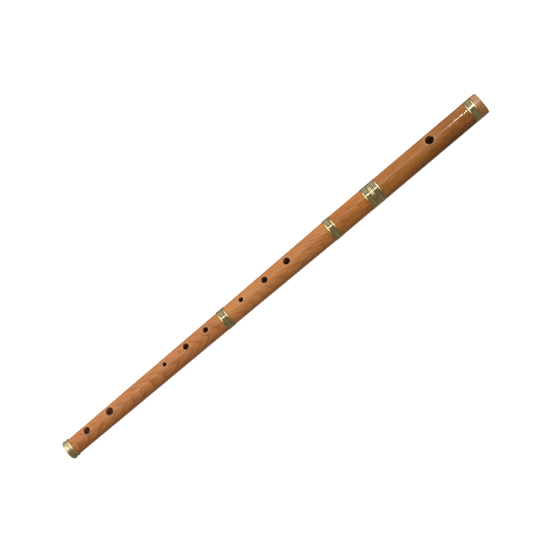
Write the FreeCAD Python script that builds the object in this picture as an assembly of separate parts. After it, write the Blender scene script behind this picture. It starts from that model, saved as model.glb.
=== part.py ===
"""A keyless wooden transverse flute in D, in four turned joints with brass ferrules and a tuning slide.

The flute lies along X with its crown at +X and its foot at -X. Its holes face +Z. The origin is at the
bottom centre of the whole instrument, so Z = 0 is the surface it lies on. Lengths are millimetres.
"""
import FreeCAD
import Part

import math
import os

from FreeCAD import Vector

# ---- overall ---------------------------------------------------------------------------------------
LENGTH = 627.0              # crown face to foot face
X_CROWN = LENGTH / 2
X_FOOT = -LENGTH / 2
JOINT_GAP = 0.1             # play between two joints' end faces
FIT = 0.04                  # radial play of a running fit

# ---- where the visible joints meet -----------------------------------------------------------------
X_CROWN_SEAT = X_CROWN - 9.1
X_SLIDE_JOINT = 151.2       # head meets barrel
X_BARREL_JOINT = 84.8       # barrel meets upper body
X_BODY_JOINT = -66.2        # upper body meets lower body

# ---- ferrules --------------------------------------------------------------------------------------
FERRULE_W = 10.2
BEAD_W = 1.5
GROOVE_W = 0.6
GROOVE_D = 0.45
BAND_R = 14.1               # crown, head and barrel ferrules
BEAD_R = 14.5
FERRULE_BORE_R = 12.95
BODY_BAND_R = 12.75         # socket ferrule of the lower body
BODY_BEAD_R = 13.2
BODY_FERRULE_BORE_R = 11.5
FOOT_RING_W = 9.4
FOOT_ROLL_W = 4.6           # the broad roll at the very end
FOOT_BEAD_R = 12.1
FOOT_NECK_R = 11.4
FOOT_RING_BORE_R = 9.8
FOOT_FLANGE_T = 0.8
FOOT_MOUTH_R = 7.2
AXIS_Z = BEAD_R             # the instrument rests on its widest beads

# ---- outside of the wood ---------------------------------------------------------------------------
HEAD_R_TOP = 13.85
HEAD_R_LOW = 13.8
BARREL_R = 13.7
UPPER_R_TOP = 13.5
UPPER_R_LOW = 12.15
LOWER_R_TOP = 12.15
LOWER_R_FOOT = 10.75

# ---- bore and tuning slide -------------------------------------------------------------------------
HEAD_BORE_R = 9.5
TUBE_WALL = 0.5
INNER_SLIDE_R = HEAD_BORE_R + TUBE_WALL
SLIDE_BORE_R = INNER_SLIDE_R + FIT
SLIDE_R = SLIDE_BORE_R + TUBE_WALL
X_SLIDE_TOP = 211.2         # the inner slide is let into the head up to here
X_SLIDE_END = 110.2         # its lower end, pushed home
UPPER_BORE_TOP_R = 9.1
BODY_BORE_R = 7.9           # where the two body joints meet
FOOT_THROAT_R = 5.9         # narrowest place of the bore
FOOT_BORE_R = 6.2
X_THROAT = -262.8
X_FOOT_BORE = -286.8        # the bore is a cylinder from here to the foot

# ---- tenons and sockets ----------------------------------------------------------------------------
TENON_LENGTH = 23.0
SOCKET_CLEAR = 0.5          # beyond the tenon's end
COLLAR_NEAR = 2.5           # wood beside the shoulder
COLLAR_END = 3.5            # wood at the tenon's tip
COLLAR_PLAY = 0.2
UPPER_SOCKET_R = 11.3
UPPER_RECESS_R = 10.35
LOWER_SOCKET_R = 9.9
LOWER_RECESS_R = 9.15

# ---- crown and screw stopper -----------------------------------------------------------------------
CROWN_R = 14.0
CROWN_EDGE = 2.0            # rounding of the rim
CROWN_DOME = 0.5
CROWN_GROOVE_D = 0.3
CROWN_GROOVE_W = 0.6
SPIGOT_LENGTH = 12.0
SPIGOT_PLAY = 0.1
STOPPER_FACE_X = 258.3      # one head bore from the embouchure's centre
FACE_T = 1.0
FACE_PLAY = 0.25
CORK_LENGTH = 18.0
NUT_R = 4.6
NUT_FLANGE_R = 6.5
NUT_FLANGE_T = 1.5
BACK_PLATE_R = 9.1
BACK_PLATE_T = 0.8
SCREW_CORE_R = 2.3
SCREW_THREAD_R = 3.0
SCREW_SHANK_R = 2.6
SCREW_TIP_X = 265.2
SCREW_THREAD_END = 289.7
SCREW_HEAD_X = 308.2
THREAD_PITCH = 1.5
THREAD_PLAY = 0.15

# ---- holes: name, place along the flute, diameter --------------------------------------------------
EMBOUCHURE = (239.3, 11.3)
UPPER_HOLES = [(25.5, 9.1), (-7.9, 8.3), (-43.4, 6.4)]
LOWER_HOLES = [(-97.3, 7.3), (-127.2, 8.1), (-159.6, 5.6), (-244.3, 10.1), (-279.2, 9.1)]
HOLE_EDGE = 0.35            # rounding of a hole's outer edge

AXIS = Vector(0, 0, AXIS_Z)
ALONG = Vector(1, 0, 0)


def at(x, r):
    """A point of a profile: x along the flute, r out from its axis."""
    return Vector(x, 0, AXIS_Z + r)


def turned(start, *steps):
    """A solid of revolution. A step is an end point, or (middle, end) for an arc; the last one closes."""
    edges = []
    here = start
    for step in steps + (start,):
        if isinstance(step[0], tuple):
            middle, end = step
            edges.append(Part.Arc(at(*here), at(*middle), at(*end)).toShape())
        else:
            end = step
            edges.append(Part.LineSegment(at(*here), at(*end)).toShape())
        here = end
    return Part.Face(Part.Wire(edges)).revolve(AXIS, ALONG, 360)


def bead(x0, x1, base, crest):
    """One arc step: a half-round bead from x0 to x1."""
    return ((x0 + x1) / 2, crest), (x1, base)


def ferrule(x0, bore_r, band_r, bead_r):
    """A brass ring with a bead at each end and a plain band between two fine grooves."""
    x1 = x0 + FERRULE_W
    base = band_r - 0.1
    left, right = x0 + BEAD_W, x1 - BEAD_W
    return turned(
        (x0, bore_r),
        (x0, base),
        bead(x0, left, base, bead_r),
        (left + GROOVE_W / 2, band_r - GROOVE_D),
        (left + GROOVE_W, band_r),
        (right - GROOVE_W, band_r),
        (right - GROOVE_W / 2, band_r - GROOVE_D),
        (right, base),
        bead(right, x1, base, bead_r),
        (x1, bore_r),
    )


def foot_ring():
    """The end ring: a broad roll round the foot, a hollow neck, a bead, and a flange over the end grain."""
    x0, x1 = X_FOOT, X_FOOT + FOOT_RING_W
    roll_end = x0 + FOOT_ROLL_W
    bead_start = x1 - BEAD_W - 0.5
    edge_r = FOOT_NECK_R - 0.7
    return turned(
        (x0, FOOT_MOUTH_R),
        (x0, edge_r),
        ((x0 + 0.55, FOOT_BEAD_R - 0.45), (x0 + FOOT_ROLL_W / 2, FOOT_BEAD_R)),
        ((roll_end - 0.75, FOOT_BEAD_R - 0.3), (roll_end, FOOT_NECK_R)),
        (((roll_end + bead_start) / 2, FOOT_NECK_R - 0.15), (bead_start, FOOT_NECK_R)),
        bead(bead_start, x1, FOOT_NECK_R, FOOT_BEAD_R - 0.05),
        (x1, FOOT_RING_BORE_R),
        (x0 + FOOT_FLANGE_T, FOOT_RING_BORE_R),
        (x0 + FOOT_FLANGE_T, FOOT_MOUTH_R),
    )


def drilled(solid, holes):
    """The solid with holes bored straight down from +Z, each with a rounded outer edge."""
    for x, diameter in holes:
        drill = Part.makeCylinder(diameter / 2, 2 * AXIS_Z, Vector(x, 0, AXIS_Z))
        solid = solid.cut(drill).Solids[0]
    rims = [rim for x, diameter in holes for rim in outer_rim(solid, x, diameter / 2)]
    return solid.makeFillet(HOLE_EDGE, rims).Solids[0]


def outer_rim(solid, x, radius):
    """The edges where the hole at x, of that radius, breaks the outer surface."""
    found = []
    for edge in solid.Edges:
        points = edge.discretize(9)
        on_hole = all(abs(math.hypot(p.x - x, p.y) - radius) < 0.01 for p in points)
        if on_hole and len({round(p.z, 3) for p in points}) > 1:
            found.append((max(p.z for p in points), edge))
    highest = max(z for z, _ in found)
    return [edge for z, edge in found if highest - z < 1.5]


def tenon_steps(shoulder, direction, collar_r, recess_r):
    """The outline of a tenon from its shoulder to its tip, with a recess for the cork."""
    near = shoulder + direction * COLLAR_NEAR
    far = shoulder + direction * (TENON_LENGTH - COLLAR_END)
    tip = shoulder + direction * TENON_LENGTH
    chamfer = 0.5
    return [
        (shoulder, collar_r),
        (near, collar_r),
        (near, recess_r),
        (far, recess_r),
        (far, collar_r),
        (tip - direction * chamfer, collar_r),
        (tip, collar_r - chamfer),
    ]


def tenon_cork(shoulder, direction, socket_r, recess_r):
    """The cork sleeve that seals a tenon in its socket, a little barrelled at both ends."""
    ends = sorted([
        shoulder + direction * COLLAR_NEAR,
        shoulder + direction * (TENON_LENGTH - COLLAR_END),
    ])
    x0, x1 = ends
    cork_r = socket_r - FIT
    lead = 1.5
    return turned(
        (x0, recess_r),
        (x0, cork_r - 0.25),
        (x0 + lead, cork_r),
        (x1 - lead, cork_r),
        (x1, cork_r - 0.25),
        (x1, recess_r),
    )


def crown_cap():
    """The wooden cap beyond the crown ferrule: a knob with two grip grooves, and a spigot into the head."""
    seat = X_CROWN_SEAT + JOINT_GAP
    rim_x = X_CROWN - CROWN_DOME
    spigot_r = HEAD_BORE_R - SPIGOT_PLAY
    tip = X_CROWN_SEAT - SPIGOT_LENGTH
    sweep = CROWN_EDGE * (1 - math.sqrt(0.5))
    outline = [(tip, spigot_r), (seat, spigot_r), (seat, CROWN_R)]
    width = rim_x - CROWN_EDGE - seat
    for share in (0.3, 0.72):
        x = seat + share * width
        half = CROWN_GROOVE_W / 2
        outline += [(x - half, CROWN_R), (x, CROWN_R - CROWN_GROOVE_D), (x + half, CROWN_R)]
    outline += [
        (rim_x - CROWN_EDGE, CROWN_R),
        ((rim_x - sweep, CROWN_R - sweep), (rim_x, CROWN_R - CROWN_EDGE)),
    ]
    face_r = CROWN_R - CROWN_EDGE
    dome_r = (face_r**2 + CROWN_DOME**2) / (2 * CROWN_DOME)
    half_x = X_CROWN - dome_r + math.sqrt(dome_r**2 - face_r**2 / 4)
    outline.append(((half_x, face_r / 2), (X_CROWN, 0)))
    outline.append((SCREW_HEAD_X, 0))
    outline.append((SCREW_HEAD_X, SCREW_SHANK_R))
    return turned((tip, SCREW_SHANK_R), *outline)


def helical_ridge(x0, x1, root_r, tip_r):
    """A right-handed screw ridge on the flute's axis, buried a little below root_r."""
    flank = 0.5 * THREAD_PITCH
    crest = 0.14 * THREAD_PITCH
    buried = root_r - 0.2
    helix = Part.makeHelix(THREAD_PITCH, x1 - x0, root_r)
    corners = [
        Vector(buried, 0, -flank * 0.9),
        Vector(tip_r, 0, -crest),
        Vector(tip_r, 0, crest),
        Vector(buried, 0, flank * 0.9),
    ]
    section = Part.makePolygon(corners + corners[:1])
    ridge = Part.Wire(helix).makePipeShell([section], True, True)
    ridge.rotate(Vector(0, 0, 0), Vector(0, 1, 0), 90)
    ridge.translate(Vector(x0, 0, AXIS_Z))
    return ridge


def rod(x0, x1, radius):
    return Part.makeCylinder(radius, x1 - x0, Vector(x0, 0, AXIS_Z), ALONG)


def stopper_screw():
    """The threaded rod fixed in the crown; it turns in the stopper's nut."""
    thread_start = SCREW_TIP_X + 0.5
    core = rod(SCREW_TIP_X, SCREW_THREAD_END, SCREW_CORE_R)
    ridge = helical_ridge(thread_start, SCREW_THREAD_END - THREAD_PITCH, SCREW_CORE_R, SCREW_THREAD_R)
    shank = rod(SCREW_THREAD_END - 1.0, SCREW_HEAD_X, SCREW_SHANK_R)
    return core.fuse([ridge, shank]).removeSplitter().Solids[0]


def stopper_nut():
    """The flanged brass nut set in the cork, cut with the screw's own thread plus its play."""
    x0 = STOPPER_FACE_X + FACE_T
    x1 = x0 + CORK_LENGTH + BACK_PLATE_T
    blank = turned(
        (x0, 0),
        (x0, NUT_R),
        (x1, NUT_R),
        (x1, NUT_FLANGE_R),
        (x1 + NUT_FLANGE_T, NUT_FLANGE_R),
        (x1 + NUT_FLANGE_T, 0),
    )
    core_r = SCREW_CORE_R + THREAD_PLAY
    turns_before = 4
    start = SCREW_TIP_X + 0.5 - turns_before * THREAD_PITCH
    ridge = helical_ridge(start, x1 + NUT_FLANGE_T + THREAD_PITCH, core_r, SCREW_THREAD_R + THREAD_PLAY)
    hole = rod(x0, x1 + NUT_FLANGE_T + 1, core_r)
    return blank.cut(hole).cut(ridge).Solids[0]


def build():
    """Every sub-part by its node's name."""
    parts = {}

    # Head joint, with the inner tuning slide let into its lower end, flush with the bore.
    head_low = X_SLIDE_JOINT + JOINT_GAP / 2
    head_ring_end = head_low + FERRULE_W
    crown_ring_start = X_CROWN_SEAT - FERRULE_W
    head = turned(
        (head_low, INNER_SLIDE_R),
        (head_low, FERRULE_BORE_R),
        (head_ring_end, FERRULE_BORE_R),
        (head_ring_end, HEAD_R_LOW),
        (crown_ring_start, HEAD_R_TOP),
        (crown_ring_start, FERRULE_BORE_R),
        (X_CROWN_SEAT, FERRULE_BORE_R),
        (X_CROWN_SEAT, HEAD_BORE_R),
        (X_SLIDE_TOP, HEAD_BORE_R),
        (X_SLIDE_TOP, INNER_SLIDE_R),
    )
    parts["head_joint"] = drilled(head, [EMBOUCHURE])
    parts["head_slide_tube"] = turned(
        (X_SLIDE_END, HEAD_BORE_R),
        (X_SLIDE_END, INNER_SLIDE_R - 0.2),
        (X_SLIDE_END + 0.2, INNER_SLIDE_R),
        (X_SLIDE_TOP, INNER_SLIDE_R),
        (X_SLIDE_TOP, HEAD_BORE_R),
    )
    parts["head_ferrule"] = ferrule(head_low, FERRULE_BORE_R, BAND_R, BEAD_R)
    parts["crown_ferrule"] = ferrule(crown_ring_start, FERRULE_BORE_R, BAND_R, BEAD_R)

    # Crown and screw stopper.
    cork_x0 = STOPPER_FACE_X + FACE_T
    cork_x1 = cork_x0 + CORK_LENGTH
    parts["crown_cap"] = crown_cap()
    parts["stopper_screw"] = stopper_screw()
    parts["stopper_nut"] = stopper_nut()
    parts["stopper_cork"] = turned(
        (cork_x0, NUT_R),
        (cork_x0, HEAD_BORE_R - FIT),
        (cork_x1, HEAD_BORE_R - FIT),
        (cork_x1, NUT_R),
    )
    parts["stopper_face"] = rod(STOPPER_FACE_X, cork_x0, HEAD_BORE_R - FACE_PLAY)
    parts["stopper_back_plate"] = turned(
        (cork_x1, NUT_R),
        (cork_x1, BACK_PLATE_R),
        (cork_x1 + BACK_PLATE_T, BACK_PLATE_R),
        (cork_x1 + BACK_PLATE_T, NUT_R),
    )

    # Barrel, with the outer tuning slide above and a socket below.
    barrel_top = X_SLIDE_JOINT - JOINT_GAP / 2
    socket_end = X_BARREL_JOINT + TENON_LENGTH + SOCKET_CLEAR
    upper_ring_start = barrel_top - FERRULE_W
    lower_ring_end = X_BARREL_JOINT + FERRULE_W
    parts["barrel"] = turned(
        (X_BARREL_JOINT, UPPER_SOCKET_R),
        (X_BARREL_JOINT, FERRULE_BORE_R),
        (lower_ring_end, FERRULE_BORE_R),
        (lower_ring_end, BARREL_R),
        (upper_ring_start, BARREL_R),
        (upper_ring_start, FERRULE_BORE_R),
        (barrel_top, FERRULE_BORE_R),
        (barrel_top, SLIDE_R),
        (socket_end, SLIDE_R),
        (socket_end, UPPER_SOCKET_R),
    )
    parts["barrel_slide_tube"] = turned(
        (socket_end, SLIDE_BORE_R),
        (socket_end, SLIDE_R),
        (barrel_top, SLIDE_R),
        (barrel_top, SLIDE_BORE_R),
    )
    parts["barrel_upper_ferrule"] = ferrule(upper_ring_start, FERRULE_BORE_R, BAND_R, BEAD_R)
    parts["barrel_lower_ferrule"] = ferrule(X_BARREL_JOINT, FERRULE_BORE_R, BAND_R, BEAD_R)

    # Upper body: a tenon at each end, three finger holes.
    top_shoulder = X_BARREL_JOINT - JOINT_GAP
    low_shoulder = X_BODY_JOINT + JOINT_GAP
    top_tip = top_shoulder + TENON_LENGTH
    low_tip = low_shoulder - TENON_LENGTH
    upper = turned(
        (low_tip, BODY_BORE_R),
        *reversed(tenon_steps(low_shoulder, -1, LOWER_SOCKET_R - COLLAR_PLAY, LOWER_RECESS_R)),
        (low_shoulder, UPPER_R_LOW),
        (top_shoulder, UPPER_R_TOP),
        *tenon_steps(top_shoulder, 1, UPPER_SOCKET_R - COLLAR_PLAY, UPPER_RECESS_R),
        (top_tip, UPPER_BORE_TOP_R),
    )
    parts["upper_body"] = drilled(upper, UPPER_HOLES)
    parts["upper_tenon_cork"] = tenon_cork(top_shoulder, 1, UPPER_SOCKET_R, UPPER_RECESS_R)
    parts["lower_tenon_cork"] = tenon_cork(low_shoulder, -1, LOWER_SOCKET_R, LOWER_RECESS_R)

    # Lower body and foot in one: a socket above, three finger holes and two foot vents.
    wood_end = X_FOOT + FOOT_FLANGE_T
    foot_ring_start = X_FOOT + FOOT_RING_W
    body_ring_start = X_BODY_JOINT - FERRULE_W
    body_socket_end = X_BODY_JOINT - TENON_LENGTH - SOCKET_CLEAR
    lower = turned(
        (wood_end, FOOT_BORE_R),
        (wood_end, FOOT_RING_BORE_R),
        (foot_ring_start, FOOT_RING_BORE_R),
        (foot_ring_start, LOWER_R_FOOT),
        (body_ring_start, LOWER_R_TOP),
        (body_ring_start, BODY_FERRULE_BORE_R),
        (X_BODY_JOINT, BODY_FERRULE_BORE_R),
        (X_BODY_JOINT, LOWER_SOCKET_R),
        (body_socket_end, LOWER_SOCKET_R),
        (body_socket_end, BODY_BORE_R),
        (X_THROAT, FOOT_THROAT_R),
        (X_FOOT_BORE, FOOT_BORE_R),
    )
    parts["lower_body"] = drilled(lower, LOWER_HOLES)
    parts["lower_body_ferrule"] = ferrule(body_ring_start, BODY_FERRULE_BORE_R, BODY_BAND_R, BODY_BEAD_R)
    parts["foot_ring"] = foot_ring()
    return parts


def main():
    os.makedirs("parts", exist_ok=True)
    for name, shape in build().items():
        print(f"{name}: {len(shape.Faces)} faces, {shape.Volume:.1f} mm3, valid {shape.isValid()}")
        shape.exportStep(f"parts/{name}.step")


main()
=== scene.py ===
"""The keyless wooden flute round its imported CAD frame: turned pieces, materials, floor, light and camera.

Lengths are metres. The flute's axis runs along X at height AXIS_Z; an angle round it is counted from +Z.
"""

import math

import bpy
import bmesh
from mathutils import Matrix, Vector

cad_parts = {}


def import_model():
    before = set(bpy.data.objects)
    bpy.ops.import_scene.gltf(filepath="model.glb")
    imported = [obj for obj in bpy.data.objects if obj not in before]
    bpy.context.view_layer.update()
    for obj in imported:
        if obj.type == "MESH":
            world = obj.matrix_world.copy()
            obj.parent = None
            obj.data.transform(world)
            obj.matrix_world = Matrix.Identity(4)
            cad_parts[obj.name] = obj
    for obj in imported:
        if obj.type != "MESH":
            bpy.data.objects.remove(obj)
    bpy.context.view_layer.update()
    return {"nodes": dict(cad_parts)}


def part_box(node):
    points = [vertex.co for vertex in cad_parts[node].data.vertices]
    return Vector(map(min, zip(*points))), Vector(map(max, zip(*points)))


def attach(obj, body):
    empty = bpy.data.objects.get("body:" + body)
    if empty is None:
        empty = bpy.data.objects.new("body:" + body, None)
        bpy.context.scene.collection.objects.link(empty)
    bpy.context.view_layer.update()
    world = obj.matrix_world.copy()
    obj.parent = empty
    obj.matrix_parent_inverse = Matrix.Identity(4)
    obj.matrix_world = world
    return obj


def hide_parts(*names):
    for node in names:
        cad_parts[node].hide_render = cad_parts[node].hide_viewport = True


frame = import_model()

MM = 0.001
SEGMENTS = 96

# ---- sizes read from the frame -----------------------------------------------------------------------


def ends(node):
    """Where a node starts and ends along X."""
    low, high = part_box(node)
    return low[0], high[0]


def radius(node):
    """A turned node's largest radius, from its width across Y, which no hole changes."""
    low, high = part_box(node)
    return (high[1] - low[1]) / 2


AXIS_Z = sum(corner[2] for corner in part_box("crown_ferrule")) / 2

# ---- sizes the boxes don't show; a hole is its place along the flute and its diameter -------------------
EMBOUCHURE = [(239.3 * MM, 11.3 * MM)]
UPPER_HOLES = [(25.5 * MM, 9.1 * MM), (-7.9 * MM, 8.3 * MM), (-43.4 * MM, 6.4 * MM)]
LOWER_HOLES = [
    (-97.3 * MM, 7.3 * MM),
    (-127.2 * MM, 8.1 * MM),
    (-159.6 * MM, 5.6 * MM),
    (-244.3 * MM, 10.1 * MM),
    (-279.2 * MM, 9.1 * MM),
]
HOLE_EDGE = 0.45 * MM       # rounding of a hole's outer edge
EMBOUCHURE_EDGE = 0.35 * MM
HEAD_TAPER = 0.05 * MM
HEAD_BORE_R = 9.5 * MM
UPPER_R_LOW = 12.15 * MM
LOWER_R_TOP = 12.15 * MM
LOWER_R_FOOT = 10.75 * MM
FERRULE_BORE_R = 12.95 * MM  # the wood's seat under a ring is as wide
BODY_FERRULE_BORE_R = 11.5 * MM
FOOT_RING_BORE_R = 9.8 * MM
UPPER_BORE_TOP_R = 9.1 * MM
BODY_BORE_R = 7.9 * MM
THROAT_X = -262.8 * MM
THROAT_R = 5.9 * MM
FOOT_BORE_X = -286.8 * MM
FOOT_BORE_R = 6.2 * MM
UPPER_RECESS_R = 10.35 * MM
LOWER_RECESS_R = 9.15 * MM
COLLAR_PLAY = 0.16 * MM
SPIGOT_PLAY = 0.1 * MM
JOINT_GAP = 0.1 * MM        # between a shoulder and the end face that meets it
FIT = 0.04 * MM             # radial play of a cork's socket
SOCKET_CLEAR = 0.5 * MM     # beyond the tenon's end
BAND_DROP = 0.42 * MM       # from a ferrule's largest radius down to its band
BODY_BAND_DROP = 0.5 * MM   # the same on the lower body's
EASE = 0.25 * MM            # the softened arris of a turned edge
MERGE = 1e-6                # verts nearer than this are one
SHARP_ANGLE = math.radians(32)

# the patch of faces round a hole, beyond the hole itself
PATCH_REACH = 1.25          # along the flute, in hole radii
PATCH_MARGIN = 2.2 * MM
PATCH_SPREAD = 0.17         # round the axis, in radians
PATCH_ROW = 0.9 * MM        # height of its rows
RIM_GAP = 0.25 * MM         # from the rounded edge to the first ring of faces
BORE_GAP = 0.3 * MM
WALL_SHADE = 0.35           # how bare of varnish a hole's wall is; the bore is 1; kept low so the walls stay darker than the bore, a painted shade in the holes


# ---- turned meshes -----------------------------------------------------------------------------------


def around(x, r, angle):
    return Vector((x, r * math.sin(angle), AXIS_Z + r * math.cos(angle)))


def circle(bm, x, r, segments):
    """New verts round the axis at x."""
    return [bm.verts.new(around(x, r, 2 * math.pi * k / segments)) for k in range(segments)]


def strip(bm, row, following, skip=()):
    """Faces between two circles of verts, but for the columns to skip."""
    count = len(row)
    for k in range(count):
        if k not in skip:
            after = (k + 1) % count
            bm.faces.new([row[k], following[k], following[after], row[after]])


def arc(x0, r0, x1, r1, rise, steps):
    """Profile points after (x0, r0) up to (x1, r1), bulging out by rise at the middle."""
    points = []
    for step in range(1, steps + 1):
        share = step / steps
        lift = rise * math.sin(math.pi * share)
        points.append((x0 + (x1 - x0) * share, r0 + (r1 - r0) * share + lift))
    return points


def new_piece(name, mesh, body, slot, material, *nodes):
    """An object that rides a body and stands for CAD nodes."""
    piece = bpy.data.objects.new(name, mesh)
    bpy.context.scene.collection.objects.link(piece)
    mesh.materials.append(material)
    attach(piece, body)
    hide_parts(*nodes)
    return piece


def finish_mesh(bm, name):
    """The mesh of bm, smooth but for its sharp edges."""
    bmesh.ops.remove_doubles(bm, verts=bm.verts, dist=MERGE)
    bmesh.ops.recalc_face_normals(bm, faces=bm.faces)
    mesh = bpy.data.meshes.new(name)
    bm.to_mesh(mesh)
    bm.free()
    mesh.polygons.foreach_set("use_smooth", [True] * len(mesh.polygons))
    mesh.set_sharp_from_angle(angle=SHARP_ANGLE)
    return mesh


def turned(name, profile, segments=SEGMENTS):
    """A closed profile of (x, r) points turned round the axis; a third value tints the surface there."""
    bm = bmesh.new()
    shade = bm.verts.layers.float.new("shade")
    rows = []
    for x, r, *hollow_tint in profile:
        row = circle(bm, x, r, segments)
        for vert in row:
            vert[shade] = hollow_tint[0] if hollow_tint else 0.0
        rows.append(row)
    for row, following in zip(rows, rows[1:] + rows[:1]):
        strip(bm, row, following)
    return finish_mesh(bm, name)


class Drilled:
    """A turned tube whose outside and bore are grids with a ring of faces round each hole."""

    def __init__(self, outside, bore, holes, edge=HOLE_EDGE):
        self.bm = bmesh.new()
        self.wear_and_highlight = self.bm.verts.layers.float.new("wear_and_highlight")
        self.shade = self.bm.verts.layers.float.new("shade")
        self.edge = edge
        self.patches = [self.patch_for(bore, x, size / 2) for x, size in holes]
        outer_rows = self.grid(outside, "outer")
        inner_rows = self.grid(bore, "inner")
        strip(self.bm, outer_rows[-1], inner_rows[-1])
        strip(self.bm, inner_rows[0], outer_rows[0])
        for patch in self.patches:
            self.fill(patch, outside, bore)

    def patch_for(self, bore, x, hole_r):
        """How much of the grid a hole's patch takes: its reach, half its columns, its rows."""
        reach = hole_r * PATCH_REACH + PATCH_MARGIN
        step = 2 * math.pi / SEGMENTS
        spread = math.asin(hole_r / radius_at(bore, x)) + PATCH_SPREAD
        columns = math.ceil(spread / step)
        rows = 2 * round(reach / PATCH_ROW)
        return {"x": x, "r": hole_r, "reach": reach, "columns": columns, "rows": rows}

    def grid(self, profile, side):
        """Rows of the grid along a profile, with a patch's rows where it has a hole."""
        lines = []
        for (x0, r0), (x1, r1) in zip(profile, profile[1:]):
            lines.append((x0, r0, None))
            for patch in sorted(self.patches, key=lambda p: p["x"]):
                if min(x0, x1) < patch["x"] < max(x0, x1):
                    for k in range(patch["rows"] + 1):
                        x = patch["x"] + patch["reach"] * (2 * k / patch["rows"] - 1)
                        lines.append((x, r0 + (r1 - r0) * (x - x0) / (x1 - x0), (patch, k)))
        lines.append((*profile[-1], None))
        rows = []
        for x, r, mark in lines:
            row = circle(self.bm, x, r, SEGMENTS)
            # the bore is pale bare wood, partly painted light seen through the holes
            if side == "inner":
                for vert in row:
                    vert[self.shade] = 1.0
            if mark:
                mark[0].setdefault(side, []).append(row)
            rows.append(row)
        for index in range(len(rows) - 1):
            mark, following = lines[index][2], lines[index + 1][2]
            open_columns = ()
            if mark and following and mark[0] is following[0]:
                columns = mark[0]["columns"]
                open_columns = {k % SEGMENTS for k in range(-columns, columns)}
            strip(self.bm, rows[index], rows[index + 1], open_columns)
        return rows

    def border(self, patch, side):
        """The verts round a patch's opening in the grid, once round."""
        rows, columns = patch[side], patch["columns"]
        first, last = rows[0], rows[-1]
        loop = [first[k % SEGMENTS] for k in range(-columns, columns)]
        loop += [row[columns] for row in rows[:-1]]
        loop += [last[k % SEGMENTS] for k in range(columns, -columns, -1)]
        loop += [row[-columns % SEGMENTS] for row in reversed(rows[1:])]
        return loop

    def fill(self, patch, outside, bore):
        """The surface from the outer opening in to the hole, down its wall and out into the bore."""
        outer = self.border(patch, "outer")
        inner = self.border(patch, "inner")
        centre, hole_r, edge = patch["x"], patch["r"], self.edge
        local = radius_at(outside, centre)
        turns = []
        for vert in outer:
            angle = math.atan2(vert.co.y, vert.co.z - AXIS_Z)
            turns.append(math.atan2(angle * local, vert.co.x - centre))

        def on_surface(profile, ring_r, turn, drop=0.0):
            """The point of a profile's surface that lies ring_r from the hole's axis, drop below it."""
            x = centre + ring_r * math.cos(turn)
            y = ring_r * math.sin(turn)
            r = radius_at(profile, x)
            return Vector((x, y, AXIS_Z + math.sqrt(r * r - y * y) - drop))

        def blended(profile, start, ring_r, share):
            """The ring that lies that share of the way from the opening's edge to a circle."""
            ring = []
            for vert, turn in zip(start, turns):
                goal = on_surface(profile, ring_r, turn)
                from_angle = math.atan2(vert.co.y, vert.co.z - AXIS_Z)
                goal_angle = math.atan2(goal.y, goal.z - AXIS_Z)
                x = vert.co.x + (goal.x - vert.co.x) * share
                angle = from_angle + (goal_angle - from_angle) * share
                ring.append(around(x, radius_at(profile, x), angle))
            return ring

        loops = [outer]

        def add(points, wear_and_highlight=0.0, shade=0.0):
            """The next ring of verts, with its worn rim and its bare wood; the paler rim is partly a painted
            highlight, the bare colour partly painted light and shade in the hole.
            """
            verts = [self.bm.verts.new(point) for point in points]
            for vert in verts:
                vert[self.wear_and_highlight] = wear_and_highlight
                vert[self.shade] = shade
            loops.append(verts)

        # the rim is painted paler towards the hole: worn wood, and partly a painted highlight where the
        # rounded edge catches light
        rim_r = hole_r + edge
        for share in (0.3, 0.6, 0.85):
            add(blended(outside, outer, rim_r + RIM_GAP, share), wear_and_highlight=0.25 * share)
        add([on_surface(outside, rim_r + RIM_GAP, turn) for turn in turns], wear_and_highlight=0.5)
        arc_steps = 5
        for step in range(arc_steps + 1):
            lean = math.pi / 2 * step / arc_steps
            ring_r = hole_r + edge * (1 - math.sin(lean))
            drop = edge * (1 - math.cos(lean))
            bare = 0.4 * step / arc_steps
            add([on_surface(outside, ring_r, turn, drop) for turn in turns], wear_and_highlight=1.0, shade=bare)
        rim = [vert.co.copy() for vert in loops[-1]]
        foot = [on_surface(bore, hole_r, turn) for turn in turns]
        # down the wall the bare colour is held lower than in the bore: painted shade in the hole
        for share in (0.12, 0.4, 0.7, 0.95, 1.0):
            add([top.lerp(low, share) for top, low in zip(rim, foot)], shade=WALL_SHADE)
        for share in (0.85, 0.5, 0.2):
            # the bore takes the full pale bare colour, partly painted light let in through the hole
            add(blended(bore, inner, hole_r + BORE_GAP, share), shade=1.0)
        loops.append(inner)
        for loop, following in zip(loops, loops[1:]):
            count = len(loop)
            for k in range(count):
                after = (k + 1) % count
                self.bm.faces.new([loop[k], loop[after], following[after], following[k]])

    def mesh(self, name):
        return finish_mesh(self.bm, name)


def radius_at(profile, x):
    """The radius of a profile at x, on the piece of it that x lies in."""
    for (x0, r0), (x1, r1) in zip(profile, profile[1:]):
        if x0 != x1 and min(x0, x1) <= x <= max(x0, x1):
            return r0 + (r1 - r0) * (x - x0) / (x1 - x0)
    raise ValueError(f"no radius at {x}")


# ---- materials ---------------------------------------------------------------------------------------


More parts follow.
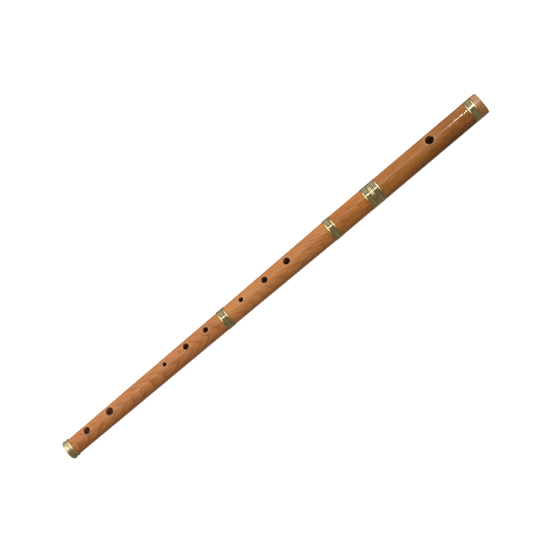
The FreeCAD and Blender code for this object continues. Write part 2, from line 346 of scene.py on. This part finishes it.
class Nodes:
    """A cleared node tree, with short ways to add and join nodes."""

    def __init__(self, tree):
        self.tree = tree
        self.tree.nodes.clear()

    def join(self, out, into):
        self.tree.links.new(out, into)

    def give(self, socket, value):
        """Join the value to a socket if it is a node's output, else set it there."""
        if hasattr(value, "is_output"):
            self.join(value, socket)
        else:
            socket.default_value = value

    def add(self, kind, *values, **inputs):
        """A node whose inputs are given in their order, by name, or both."""
        node = self.tree.nodes.new("ShaderNode" + kind)
        for index, value in enumerate(values):
            self.give(node.inputs[index], value)
        for key, value in inputs.items():
            self.give(node.inputs[key], value)
        return node

    def math(self, operation, *values):
        node = self.add("Math", *values)
        node.operation = operation
        return node.outputs[0]

    def smooth(self, value, low, high):
        """From 0 where the value is low to 1 where it is high, eased at both ends."""
        node = self.add("MapRange", value, low, high)
        node.interpolation_type = "SMOOTHSTEP"
        return node.outputs[0]

    def scaled(self, vector, x, y, z):
        node = self.add("VectorMath", vector, (x, y, z))
        node.operation = "MULTIPLY"
        return node.outputs[0]

    def noise(self, vector, detail=3.0, roughness=0.5):
        return self.add("TexNoise", Vector=vector, Scale=1.0, Detail=detail, Roughness=roughness).outputs[0]

    def ramp(self, value, *stops):
        """A colour ramp: stops are (place, (r, g, b)) or (place, grey)."""
        node = self.add("ValToRGB", Fac=value)
        elements = node.color_ramp.elements
        while len(elements) < len(stops):
            elements.new(0.5)
        for element, (place, colour) in zip(elements, stops):
            if not isinstance(colour, tuple):
                colour = (colour, colour, colour)
            element.position = place
            element.color = (*colour, 1.0)
        return node.outputs[0]

    def blend(self, share, first, second, mode="MIX"):
        node = self.tree.nodes.new("ShaderNodeMix")
        node.data_type = "RGBA"
        node.blend_type = mode
        for index, value in ((0, share), (6, first), (7, second)):
            self.give(node.inputs[index], value)
        return node.outputs[2]


class Surface(Nodes):
    """A new material: a principled shader and the nodes in front of it."""

    def __init__(self, name):
        self.material = bpy.data.materials.new(name)
        self.material.use_nodes = True
        super().__init__(self.material.node_tree)
        output = self.tree.nodes.new("ShaderNodeOutputMaterial")
        self.shader = self.tree.nodes.new("ShaderNodeBsdfPrincipled")
        self.join(self.shader.outputs[0], output.inputs[0])

    def attribute(self, name):
        node = self.tree.nodes.new("ShaderNodeAttribute")
        node.attribute_name = name
        return node.outputs["Fac"]

    def place(self):
        return self.add("TexCoord").outputs["Object"]

    def bump(self, height, distance, strength=1.0, under=None):
        node = self.add("Bump", Height=height, Distance=distance, Strength=strength)
        if under is not None:
            self.join(under, node.inputs["Normal"])
        return node.outputs[0]

    def set(self, **inputs):
        """The shader's inputs, by name with _ for a space."""
        for key, value in inputs.items():
            self.give(self.shader.inputs[key.replace("_", " ")], value)


DARK_WOOD = (0.33, 0.098, 0.018)
MIDDLE_WOOD = (0.58, 0.212, 0.046)
LIGHT_WOOD = (0.75, 0.315, 0.085)
HEART_AND_UNDERSIDE_SHADE = (0.46, 0.38, 0.28, 1.0)        # multiplies the wood's colour: darker heartwood, and painted shade on the underside
PORE = (0.07, 0.022, 0.008, 1.0)
# paler rims round the holes: worn wood, and partly a painted highlight on the rounded edge
WORN_RIM_AND_HIGHLIGHT = (0.62, 0.34, 0.17, 1.0)
BARE_WOOD_AND_HOLE_LIGHT = (0.60, 0.43, 0.34, 1.0)        # unvarnished and dusty, in the bore, and pale enough to paint light into the holes
PITH_DISTANCE = 48 * MM                    # from the flute's axis to the tree's


def wood(name, face_degrees, slope, ring, seed, tone, varnish=0.4, gloss=0.06, heart_and_underside_shade=None, contrast=0.40):
    """Varnished rosewood. face_degrees is where round the axis, from the top towards the front, the
    growth rings lie flat against the surface and draw their arches. slope is how fast they run out along
    the piece, ring is their spacing and contrast how strongly they show. heart_and_underside_shade is where
    along the flute darker heartwood starts and where it is fully dark; the darkening is fainter on the top
    side and full underneath, which paints shade onto the underside.
    """
    n = Surface(name)
    place = n.place()
    x, y, z = n.add("SeparateXYZ", Vector=place).outputs
    lean = math.radians(face_degrees)
    pith_y = math.sin(lean) * PITH_DISTANCE
    pith_z = AXIS_Z - math.cos(lean) * PITH_DISTANCE
    shifted = n.add("VectorMath", place, (seed, 0.31 * seed, 0.0)).outputs[0]
    drift = n.noise(n.scaled(shifted, 14.0, 60.0, 60.0), detail=2.0)
    waver = n.noise(n.scaled(shifted, 45.0, 260.0, 260.0), detail=3.0)
    across = n.math("SUBTRACT", y, pith_y)
    upward = n.math("SUBTRACT", z, pith_z)
    across_squared = n.math("MULTIPLY", across, across)
    upward_squared = n.math("MULTIPLY", upward, upward)
    from_pith = n.math("SQRT", n.math("ADD", across_squared, upward_squared))
    level = n.math("MULTIPLY_ADD", x, slope, from_pith)
    level = n.math("MULTIPLY_ADD", drift, 9.0 * MM, level)
    level = n.math("MULTIPLY_ADD", waver, 2.4 * MM, level)
    turn = n.math("FRACT", n.math("DIVIDE", level, ring))
    figure = n.ramp(turn, (0.0, 0.62), (0.45, 0.5), (0.8, 0.25), (0.9, 0.05), (1.0, 0.62))
    fine_turn = n.math("FRACT", n.math("DIVIDE", level, ring * 0.23))
    fine_figure = n.ramp(fine_turn, (0.0, 0.6), (0.7, 0.4), (1.0, 0.6))
    fibre = n.noise(n.scaled(shifted, 60.0, 1500.0, 1500.0), detail=4.0, roughness=0.6)
    patch = n.noise(n.scaled(shifted, 22.0, 90.0, 90.0), detail=2.0)
    mixed = n.math("MULTIPLY_ADD", fine_figure, 0.34, 0.14)
    mixed = n.math("MULTIPLY_ADD", figure, contrast, mixed)
    mixed = n.math("MULTIPLY_ADD", n.math("SUBTRACT", fibre, 0.5), 0.7, mixed)
    mixed = n.math("MULTIPLY_ADD", n.math("SUBTRACT", patch, 0.5), 0.5, mixed)
    stops = []
    for level_at, shade_of_wood in ((0.15, DARK_WOOD), (0.5, MIDDLE_WOOD), (0.85, LIGHT_WOOD)):
        stops.append((level_at, tuple(channel * share for channel, share in zip(shade_of_wood, tone))))
    colour = n.ramp(mixed, *stops)
    if heart_and_underside_shade:
        start, full = heart_and_underside_shade
        depth = n.math("DIVIDE", n.math("SUBTRACT", x, start), full - start)
        depth = n.math("MULTIPLY_ADD", n.math("SUBTRACT", patch, 0.5), 1.2, depth)
        # the darkening is weak on the top and full below the axis: painted shade on the underside
        underside_shade = n.ramp(n.math("MULTIPLY_ADD", z, -40.0, 1.15), (0.03, 0.3), (0.6, 1.0))
        depth = n.math("MULTIPLY", n.ramp(depth, (0.0, 0.0), (1.0, 1.0)), underside_shade)
        colour = n.blend(depth, colour, HEART_AND_UNDERSIDE_SHADE, mode="MULTIPLY")
    pores = n.noise(n.scaled(shifted, 330.0, 5200.0, 5200.0), detail=2.0)
    pore = n.ramp(pores, (0.30, 1.0), (0.37, 0.0))
    colour = n.blend(n.math("MULTIPLY", pore, 0.45), colour, PORE)
    # paler worn rims round the holes, partly a painted highlight on their rounded edge
    colour = n.blend(n.math("MULTIPLY", n.attribute("wear_and_highlight"), 0.5), colour, WORN_RIM_AND_HIGHLIGHT)
    # pale bare wood in the bore, partly painted light in the holes; the walls get less of it, a painted
    # shade
    colour = n.blend(n.math("MULTIPLY", n.attribute("shade"), 0.65), colour, BARE_WOOD_AND_HOLE_LIGHT)
    ripple = n.noise(n.scaled(shifted, 60.0, 90.0, 90.0), detail=1.0)
    relief = n.bump(ripple, 0.04 * MM, strength=0.3)
    relief = n.bump(pore, -0.03 * MM, strength=0.5, under=relief)
    n.set(
        Base_Color=colour,
        Roughness=n.math("MULTIPLY_ADD", fibre, 0.2, 0.38),
        Normal=relief,
        Specular_IOR_Level=0.25,
        Coat_Weight=varnish,
        Coat_Roughness=gloss,
        Coat_IOR=1.5,
        Coat_Normal=n.bump(ripple, 0.04 * MM, strength=0.3),
    )
    return n.material


BRASS_HOLLOW_DARK = (0.06, 0.045, 0.02, 1.0)
TOOL_MARK = 0.004 * MM                     # depth of the lathe's marks


def brass(name, colour, roughness, lines_per_m=5200.0):
    """Turned brass: fine marks round the axis, faint stains, and dull hollows."""
    n = Surface(name)
    place = n.place()
    x = n.add("SeparateXYZ", Vector=place).outputs[0]
    marks = n.noise(n.scaled(place, lines_per_m, 60.0, 60.0), detail=3.0)
    stain = n.noise(n.scaled(place, 160.0, 160.0, 160.0), detail=4.0, roughness=0.6)
    dull = tuple(channel * 0.62 for channel in colour)
    toned = n.blend(n.ramp(stain, (0.4, 0.0), (0.75, 1.0)), (*colour, 1.0), (*dull, 1.0))
    # the grooves and scored lines are made darker, duller and less metallic
    hollow_tint = n.math("MULTIPLY", n.attribute("shade"), 0.9)
    rough = n.math("MULTIPLY_ADD", marks, 0.08, roughness - 0.04)
    n.set(
        Base_Color=n.blend(hollow_tint, toned, BRASS_HOLLOW_DARK),
        Metallic=n.math("MULTIPLY_ADD", hollow_tint, -0.7, 1.0),
        Roughness=n.math("MULTIPLY_ADD", hollow_tint, 0.4, rough),
        Normal=n.bump(marks, TOOL_MARK, strength=0.6),
    )
    return n.material


def cork(name):
    """Cork: granules with dark lenticels, matt."""
    n = Surface(name)
    place = n.place()
    cells = n.add("TexVoronoi", Vector=place, Scale=900.0)
    grain = n.ramp(cells.outputs["Distance"], (0.0, (0.30, 0.17, 0.085)), (0.5, (0.52, 0.33, 0.18)))
    fleck = n.noise(n.scaled(place, 420.0, 1300.0, 1300.0), detail=3.0)
    fleck = n.ramp(fleck, (0.33, 1.0), (0.42, 0.0))
    n.set(
        Base_Color=n.blend(fleck, grain, (0.10, 0.045, 0.02, 1.0)),
        Roughness=0.85,
        Normal=n.bump(cells.outputs["Distance"], 0.08 * MM, strength=0.6),
    )
    return n.material


def lit_white(name):
    """A white sweep lit from below, which leaves only a faint shadow."""
    n = Surface(name)
    n.set(
        Base_Color=(0.3, 0.3, 0.3, 1.0),
        Roughness=0.9,
        Emission_Color=(1.0, 1.0, 1.0, 1.0),
        Emission_Strength=0.97,
    )
    return n.material


HEAD_WOOD = wood(
    "head wood", face_degrees=40.0, slope=-0.05, ring=2.4 * MM, seed=0.37,
    tone=(0.655, 0.655, 0.575), heart_and_underside_shade=(0.17, 0.255),
)
BARREL_WOOD = wood(
    "barrel wood", face_degrees=35.0, slope=-0.10, ring=3.6 * MM, seed=1.9,
    tone=(0.735, 0.71, 0.59),
)
UPPER_WOOD = wood(
    "upper body wood", face_degrees=75.0, slope=-0.2, ring=3.2 * MM, seed=0.9,
    tone=(0.83, 0.865, 1.04),
)
LOWER_WOOD = wood(
    "lower body wood", face_degrees=32.0, slope=-0.22, ring=3.4 * MM, seed=0.11,
    tone=(0.735, 0.71, 0.92), contrast=0.58,
)
CROWN_WOOD = wood(
    "crown wood", face_degrees=10.0, slope=0.10, ring=2.0 * MM, seed=2.6,
    tone=(0.64, 0.76, 0.98), varnish=1.0, gloss=0.15,
)
FERRULE_BRASS = brass("ferrule brass", (0.84, 0.73, 0.43), roughness=0.09)
TUBE_BRASS = brass("tube brass", (0.83, 0.62, 0.28), roughness=0.24, lines_per_m=2600.0)
FOOT_BRASS = brass("foot ring brass", (0.64, 0.56, 0.34), roughness=0.34)
CORK = cork("cork")


# ---- pieces ------------------------------------------------------------------------------------------


def ferrule_profile(node, bore_r, band_drop):
    """A ring with a bead at each end, a groove inside each, and two scored lines round the band between."""
    x0, x1 = ends(node)
    crest = radius(node)
    band = crest - band_drop
    bead_w = 1.6 * MM
    groove_w = 0.9 * MM
    groove_r = band - 0.6 * MM
    foot_r = band - 0.2 * MM
    left, right = x0 + bead_w, x1 - bead_w
    profile = [(x0, bore_r), (x0, foot_r - 0.35 * MM)]
    profile += arc(x0, foot_r - 0.35 * MM, left, foot_r, crest - foot_r + 0.17 * MM, 12)
    profile += [(left + groove_w * 0.3, groove_r, 1.0), (left + groove_w * 0.75, groove_r, 1.0)]
    profile.append((left + groove_w, band))
    line_w = 0.45 * MM          # half its width
    line_r = band - 0.32 * MM
    start, stop = left + groove_w, right - groove_w
    for share in (0.27, 0.73):
        x = start + share * (stop - start)
        profile += [(x - line_w, band), (x - 0.5 * line_w, line_r, 1.0)]
        profile += [(x + 0.5 * line_w, line_r, 1.0), (x + line_w, band)]
    profile.append((stop, band))
    profile += [(right - groove_w * 0.75, groove_r, 1.0), (right - groove_w * 0.3, groove_r, 1.0)]
    profile.append((right, foot_r))
    profile += arc(right, foot_r, x1, foot_r - 0.35 * MM, crest - foot_r + 0.17 * MM, 12)
    profile.append((x1, bore_r))
    return profile


def foot_ring_profile():
    """The broad roll round the foot, the neck, the bead, and the flange over the end grain."""
    x0, x1 = ends("foot_ring")
    crest = radius("foot_ring")
    neck = crest - 0.7 * MM
    roll_w = 4.6 * MM
    roll_end = x0 + roll_w
    bead_start = x1 - 2.2 * MM
    flange = x0 + 0.8 * MM
    mouth_r = 7.2 * MM
    edge_r = crest - 1.7 * MM
    profile = [(x0, mouth_r + EASE), (x0, edge_r)]
    steps = 14
    for step in range(1, steps + 1):
        share = step / steps
        swell = math.sin(math.pi * share) ** 0.7
        base = edge_r + (neck - edge_r) * share
        rise = (crest - (edge_r + neck) / 2) * swell * 0.92
        profile.append((x0 + roll_w * share, base + rise))
    profile += arc(roll_end, neck, bead_start, neck, -0.12 * MM, 6)
    profile += arc(bead_start, neck, x1, neck - 0.3 * MM, crest - neck + 0.1 * MM, 12)
    profile += [(x1, FOOT_RING_BORE_R), (flange, FOOT_RING_BORE_R), (flange, mouth_r), (x0 + EASE, mouth_r)]
    return profile


def crown_profile():
    """The cap: a spigot, a rounded knob with two pairs of fine turned lines, and a slightly domed face."""
    tip, face = ends("crown_cap")
    seat = ends("crown_ferrule")[1] + JOINT_GAP
    spigot_r = HEAD_BORE_R - SPIGOT_PLAY
    knob_r = radius("crown_cap")
    round_r = 2.0 * MM
    dome = 0.5 * MM
    rod_r = 2.6 * MM
    line_w = 0.35 * MM          # half its width
    line_d = 0.25 * MM
    socket_x = ends("stopper_screw")[1]
    profile = [(tip, rod_r), (tip, spigot_r - EASE), (tip + EASE, spigot_r), (seat, spigot_r)]
    profile += [(seat, knob_r - EASE), (seat + EASE, knob_r)]
    for share in (0.22, 0.36, 0.62, 0.76):
        x = seat + share * (face - round_r - seat)
        profile += [(x - line_w, knob_r), (x, knob_r - line_d, 0.7), (x + line_w, knob_r)]
    rim_x = face - dome
    steps = 8
    for step in range(steps + 1):
        lean = math.pi / 2 * step / steps
        profile.append((rim_x - round_r * (1 - math.sin(lean)), knob_r - round_r * (1 - math.cos(lean))))
    face_r = knob_r - round_r
    for share in (0.85, 0.6, 0.3, 0.0):
        profile.append((face - dome * share**2, face_r * share))
    profile += [(socket_x, 0.0), (socket_x, rod_r)]
    return profile


def cork_sleeve_profile(node, recess_r):
    """A cork sleeve in its recess, rounded over at both ends."""
    x0, x1 = ends(node)
    cork_r = radius(node)
    lead = 1.5 * MM
    return [
        (x0, recess_r),
        (x0, cork_r - 0.3 * MM),
        *arc(x0, cork_r - 0.3 * MM, x0 + lead, cork_r, 0.06 * MM, 4),
        *arc(x1 - lead, cork_r, x1, cork_r - 0.3 * MM, 0.06 * MM, 4),
        (x1, recess_r),
    ]


def tenon(shoulder, tip, cork_node, recess_r, collar_r):
    """Outline of a tenon from its shoulder to its tip, round the cork's recess."""
    cork_x = sorted(ends(cork_node), key=lambda x: abs(x - shoulder))
    toward = 1 if tip > shoulder else -1
    return [
        (shoulder, collar_r),
        (cork_x[0], collar_r),
        (cork_x[0], recess_r),
        (cork_x[1], recess_r),
        (cork_x[1], collar_r),
        (tip - toward * 2 * EASE, collar_r),
        (tip, collar_r - 2 * EASE),
    ]


def eased_step(x, r, toward):
    """An outer corner at (x, r) whose face is at x, eased; toward is the way the wood runs from it. The last
    point keeps the corner's shading off the long stretch beyond.
    """
    rounded = [(x, r - EASE), (x + toward * EASE * 0.3, r - EASE * 0.3), (x + toward * EASE, r)]
    return rounded + [(x + toward * EASE * 4, r)]


def head_joint():
    """The head: the slide tube is let into its lower end, and the rings into its outside."""
    low, high = ends("head_joint")
    ring_end = ends("head_ferrule")[1]
    crown_ring = ends("crown_ferrule")[0]
    tube_top = ends("head_slide_tube")[1]
    tube_r = radius("head_slide_tube")
    wood_r = radius("head_joint")
    outside = [
        (low, tube_r + EASE),
        (low, FERRULE_BORE_R),
        (ring_end, FERRULE_BORE_R),
        *eased_step(ring_end, wood_r - HEAD_TAPER, 1),
        *reversed(eased_step(crown_ring, wood_r, -1)),
        (crown_ring, FERRULE_BORE_R),
        (high, FERRULE_BORE_R),
        (high, HEAD_BORE_R + EASE),
    ]
    bore = [(low, tube_r), (tube_top, tube_r), (tube_top, HEAD_BORE_R), (high, HEAD_BORE_R)]
    mesh = Drilled(outside, bore, EMBOUCHURE, edge=EMBOUCHURE_EDGE).mesh("head_joint_turned")
    return new_piece("head_joint_turned", mesh, "head", "wood", HEAD_WOOD, "head_joint")


def upper_body():
    """The upper body, with a corked tenon at each end."""
    low, high = ends("upper_body")
    top_shoulder = ends("barrel")[0] - JOINT_GAP
    low_shoulder = ends("lower_body")[1] + JOINT_GAP
    wood_r = radius("upper_body")
    upper_collar = radius("upper_tenon_cork") - COLLAR_PLAY
    lower_collar = radius("lower_tenon_cork") - COLLAR_PLAY
    outside = [
        *reversed(tenon(low_shoulder, low, "lower_tenon_cork", LOWER_RECESS_R, lower_collar)),
        *eased_step(low_shoulder, UPPER_R_LOW, 1),
        *reversed(eased_step(top_shoulder, wood_r, -1)),
        *tenon(top_shoulder, high, "upper_tenon_cork", UPPER_RECESS_R, upper_collar),
    ]
    bore = [(low, BODY_BORE_R), (high, UPPER_BORE_TOP_R)]
    mesh = Drilled(outside, bore, UPPER_HOLES).mesh("upper_body_turned")
    return new_piece("upper_body_turned", mesh, "upper_body", "wood", UPPER_WOOD, "upper_body")


def lower_body():
    """The lower body: a socket at its top, and the bore narrowing to a throat before the foot."""
    low, high = ends("lower_body")
    foot_ring_x = ends("foot_ring")[1]
    ring_x = ends("lower_body_ferrule")[0]
    socket_end = ends("upper_body")[0] - JOINT_GAP - SOCKET_CLEAR
    socket_r = radius("lower_tenon_cork") + FIT
    outside = [
        (low, FOOT_RING_BORE_R),
        (foot_ring_x, FOOT_RING_BORE_R),
        *eased_step(foot_ring_x, LOWER_R_FOOT, 1),
        *reversed(eased_step(ring_x, LOWER_R_TOP, -1)),
        (ring_x, BODY_FERRULE_BORE_R),
        (high, BODY_FERRULE_BORE_R),
    ]
    bore = [
        (low, FOOT_BORE_R),
        (FOOT_BORE_X, FOOT_BORE_R),
        (THROAT_X, THROAT_R),
        (socket_end, BODY_BORE_R),
        (socket_end, socket_r),
        (high, socket_r),
    ]
    mesh = Drilled(outside, bore, LOWER_HOLES).mesh("lower_body_turned")
    return new_piece("lower_body_turned", mesh, "lower_body", "wood", LOWER_WOOD, "lower_body")


def barrel():
    """The barrel: a socket below, the outer slide tube above."""
    low, high = ends("barrel")
    lower_ring = ends("barrel_lower_ferrule")[1]
    upper_ring = ends("barrel_upper_ferrule")[0]
    wood_r = radius("barrel")
    socket_r = radius("upper_tenon_cork") + FIT
    tube_start = ends("barrel_slide_tube")[0]
    tube_r = radius("barrel_slide_tube")
    profile = [
        (low, socket_r + EASE),
        (low, FERRULE_BORE_R),
        (lower_ring, FERRULE_BORE_R),
        *eased_step(lower_ring, wood_r, 1),
        *reversed(eased_step(upper_ring, wood_r, -1)),
        (upper_ring, FERRULE_BORE_R),
        (high, FERRULE_BORE_R),
        (high, tube_r),
        (tube_start, tube_r),
        (tube_start, socket_r),
        (low + EASE, socket_r),
    ]
    mesh = turned("barrel_turned", profile)
    return new_piece("barrel_turned", mesh, "barrel", "wood", BARREL_WOOD, "barrel")


def ferrules():
    """The five ferrules and the foot ring."""
    rings = [
        ("crown_ferrule", "head", FERRULE_BORE_R, BAND_DROP),
        ("head_ferrule", "head", FERRULE_BORE_R, BAND_DROP),
        ("barrel_upper_ferrule", "barrel", FERRULE_BORE_R, BAND_DROP),
        ("barrel_lower_ferrule", "barrel", FERRULE_BORE_R, BAND_DROP),
        ("lower_body_ferrule", "lower_body", BODY_FERRULE_BORE_R, BODY_BAND_DROP),
    ]
    for node, body, bore_r, band_drop in rings:
        mesh = turned(node + "_turned", ferrule_profile(node, bore_r, band_drop), 128)
        new_piece(node + "_turned", mesh, body, "ferrule_brass", FERRULE_BRASS, node)
    mesh = turned("foot_ring_turned", foot_ring_profile(), 128)
    new_piece("foot_ring_turned", mesh, "lower_body", "ferrule_brass", FOOT_BRASS, "foot_ring")


def crown_and_corks():
    """The cap and the two cork sleeves."""
    mesh = turned("crown_cap_turned", crown_profile())
    new_piece("crown_cap_turned", mesh, "crown", "wood", CROWN_WOOD, "crown_cap")
    for node, recess_r in (("upper_tenon_cork", UPPER_RECESS_R), ("lower_tenon_cork", LOWER_RECESS_R)):
        mesh = turned(node + "_sleeve", cork_sleeve_profile(node, recess_r))
        new_piece(node + "_sleeve", mesh, "upper_body", "cork", CORK, node)


def finish_cad_nodes():
    """Materials for the CAD nodes that stay."""
    kept = {
        TUBE_BRASS: [
            "head_slide_tube",
            "barrel_slide_tube",
            "stopper_screw",
            "stopper_nut",
            "stopper_face",
            "stopper_back_plate",
        ],
        CORK: ["stopper_cork"],
    }
    for material, nodes in kept.items():
        for node in nodes:
            mesh = frame["nodes"][node].data
            mesh.materials.clear()
            mesh.materials.append(material)


head_joint()
upper_body()
lower_body()
barrel()
ferrules()
crown_and_corks()
finish_cad_nodes()


# ---- floor, light and camera -------------------------------------------------------------------------
VIEW_ELEVATION = math.radians(61.5)
VIEW_DISTANCE = 2.035
CAMERA_X = 0.1447
AIM_X = 0.0044
AIM_BESIDE = 1.83 * MM      # the view's centre lies this far beyond the flute's axis
ROLL = math.radians(40.145)
LENS = 115.66
FLOOR_REACH = 4.0
STRIP_ELEVATION = math.radians(90.5)
STRIP_YAW = math.radians(11.5)
STRIP_DISTANCE = 1.7
LAMP_ELEVATION = math.radians(95.5)
LAMP_X = 0.392
LAMP_AIM_X = 0.27
LAMP_DISTANCE = 1.5
FILL_ELEVATION = math.radians(8)
FILL_DISTANCE = 2.0
FRONT_SKY = (0.25, 0.21, 0.145, 1.0)
BACK_SKY = (0.60, 0.59, 0.56, 1.0)
END_PANELS = (3.0, 3.0, 2.95, 1.0)
BELOW = (0.26, 0.22, 0.16, 1.0)


def from_front(elevation):
    """The direction at that height above the horizon, in the plane across the flute, from the front side."""
    return Vector((0.0, -math.cos(elevation), math.sin(elevation)))


def floor():
    """The white sweep under the flute, which throws no light on it."""
    mesh = bpy.data.meshes.new("floor")
    signs = ((-1, -1), (1, -1), (1, 1), (-1, 1))
    mesh.from_pydata([(FLOOR_REACH * i, FLOOR_REACH * j, 0) for i, j in signs], [], [(0, 1, 2, 3)])
    mesh.materials.append(lit_white("floor sweep"))
    plane = bpy.data.objects.new("floor", mesh)
    bpy.context.scene.collection.objects.link(plane)
    plane.visible_diffuse = False
    plane.visible_glossy = False


def area_light(name, location, aim, size_x, size_y, power):
    data = bpy.data.lights.new(name, "AREA")
    data.shape = "RECTANGLE"
    data.size = size_x
    data.size_y = size_y
    data.energy = power
    light = bpy.data.objects.new(name, data)
    bpy.context.scene.collection.objects.link(light)
    light.location = location
    light.rotation_euler = (aim - location).to_track_quat("-Z", "Y").to_euler()
    return light


def lights():
    """A long soft strip overhead, a small lamp that glints near the crown, and a soft front fill."""
    middle = Vector((0.0, 0.0, AXIS_Z))
    strip_at = middle + from_front(STRIP_ELEVATION) * STRIP_DISTANCE
    strip_light = area_light("strip", strip_at, middle, size_x=2.6, size_y=0.28, power=7.6)
    strip_light.rotation_euler.rotate_axis("Z", STRIP_YAW)
    lamp_at = Vector((LAMP_X, 0, AXIS_Z)) + from_front(LAMP_ELEVATION) * LAMP_DISTANCE
    lamp_aim = Vector((LAMP_AIM_X, 0, AXIS_Z))
    area_light("crown lamp", lamp_at, lamp_aim, size_x=0.08, size_y=0.06, power=1.7)
    fill_at = middle + from_front(FILL_ELEVATION) * FILL_DISTANCE
    fill = area_light("fill", fill_at, middle, size_x=1.6, size_y=1.0, power=5.5)
    fill.data.color = (0.92, 1.0, 1.2)
    fill.visible_glossy = False


def world():
    """The studio round the strip: dim in front, brighter behind, bright panels at both ends, grey below."""
    studio = bpy.data.worlds.new("studio")
    studio.use_nodes = True
    n = Nodes(studio.node_tree)
    x, y, z = n.add("SeparateXYZ", n.add("TexCoord").outputs["Generated"]).outputs
    sky = n.blend(n.smooth(y, -0.1, 0.45), FRONT_SKY, BACK_SKY)
    panels = n.smooth(n.math("ABSOLUTE", x), 0.40, 0.75)
    panels = n.math("MULTIPLY", panels, n.smooth(z, -0.05, 0.35))
    panels = n.math("MULTIPLY", panels, n.smooth(y, -0.5, 0.05))
    sky = n.blend(panels, sky, END_PANELS)
    background = n.add("Background", n.blend(n.smooth(z, -0.15, 0.05), BELOW, sky), 1.0)
    n.add("OutputWorld", background.outputs[0])
    bpy.context.scene.world = studio


def camera():
    """A long lens from the front and above, rolled so that the flute climbs to the upper right."""
    beyond = Vector((0.0, math.sin(VIEW_ELEVATION), math.cos(VIEW_ELEVATION)))
    location = Vector((CAMERA_X, 0.0, AXIS_Z)) + from_front(VIEW_ELEVATION) * VIEW_DISTANCE
    aim = Vector((AIM_X, 0.0, AXIS_Z)) + beyond * AIM_BESIDE
    forward = (aim - location).normalized()
    along = Vector((1.0, 0.0, 0.0))
    along = (along - forward * along.dot(forward)).normalized()
    over = along.cross(forward)
    right = along * math.cos(ROLL) - over * math.sin(ROLL)
    up = along * math.sin(ROLL) + over * math.cos(ROLL)
    data = bpy.data.cameras.new("camera")
    data.lens = LENS
    data.sensor_width = 36.0
    data.clip_end = 50.0
    eye = bpy.data.objects.new("camera", data)
    bpy.context.scene.collection.objects.link(eye)
    turn = Matrix((right, up, -forward)).transposed().to_4x4()
    eye.matrix_world = Matrix.Translation(location) @ turn
    bpy.context.scene.camera = eye


floor()
lights()
world()
camera()
bpy.context.scene.view_settings.view_transform = "Standard"
